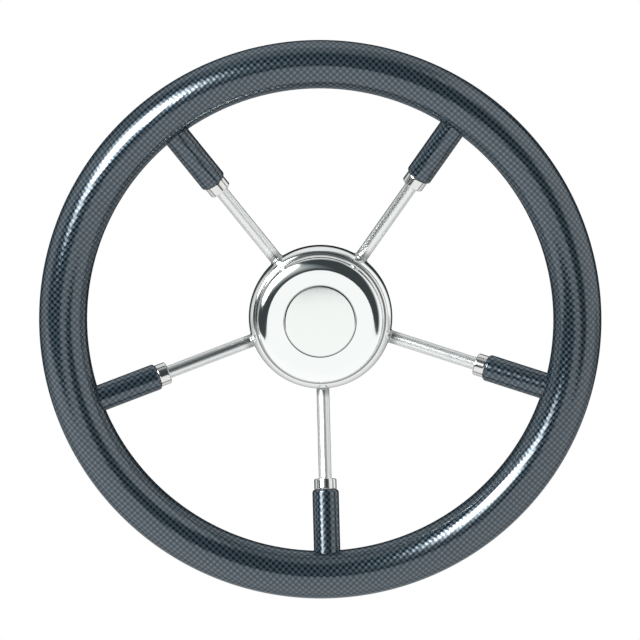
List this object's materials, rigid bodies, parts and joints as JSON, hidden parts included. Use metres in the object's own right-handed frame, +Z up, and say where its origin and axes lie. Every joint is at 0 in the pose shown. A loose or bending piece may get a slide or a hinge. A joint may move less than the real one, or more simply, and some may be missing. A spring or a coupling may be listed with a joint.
{
  "type": "boat steering wheel",
  "caption": "Dished boat steering wheel: glossy weave-look grip on straight polished spokes, steel hub bowl with a pull-off centre cap and a tapered, keyed shaft hole.",
  "frame": {"origin": "centre of the boss's rear face, at the mouth of the shaft hole", "axes": "Y is the wheel's axis: the face looks along -Y and the helm shaft comes in from +Y. +Z is up, at twelve o'clock, with one spoke at six o'clock."},
  "size_m": [0.35, 0.0816, 0.35],
  "materials": {
    "carbon_look": "glossy clear coat over a small dark and light weave pattern",
    "polished_steel": "mirror-polished stainless steel",
    "turned_steel": "turned stainless steel, fine rings",
    "cap_steel": "polished stainless steel, satin raised disc",
    "plain_steel": "mill finish",
    "black_rubber": "matt"
  },
  "bodies": {
    "wheel": {"rim_grip": "carbon_look", "rim_core_ring": "plain_steel", "hub_bowl": "polished_steel", "hub_boss": "turned_steel", "spoke_1": "polished_steel", "spoke_2": "polished_steel", "spoke_3": "polished_steel", "spoke_4": "polished_steel", "spoke_5": "polished_steel", "spoke_sleeve_1": "carbon_look", "spoke_sleeve_2": "carbon_look", "spoke_sleeve_3": "carbon_look", "spoke_sleeve_4": "carbon_look", "spoke_sleeve_5": "carbon_look", "spoke_ferrule_1": "turned_steel", "spoke_ferrule_2": "turned_steel", "spoke_ferrule_3": "turned_steel", "spoke_ferrule_4": "turned_steel", "spoke_ferrule_5": "turned_steel"},
    "cap": {"centre_cap": "cap_steel", "cap_rubber_ring": "black_rubber"}
  },
  "joints": [
    {"name": "cap_pull", "type": "slide", "parent": "wheel", "child": "cap", "axis": [0, -1, 0], "range_m": [0, 0.012]}
  ]
}
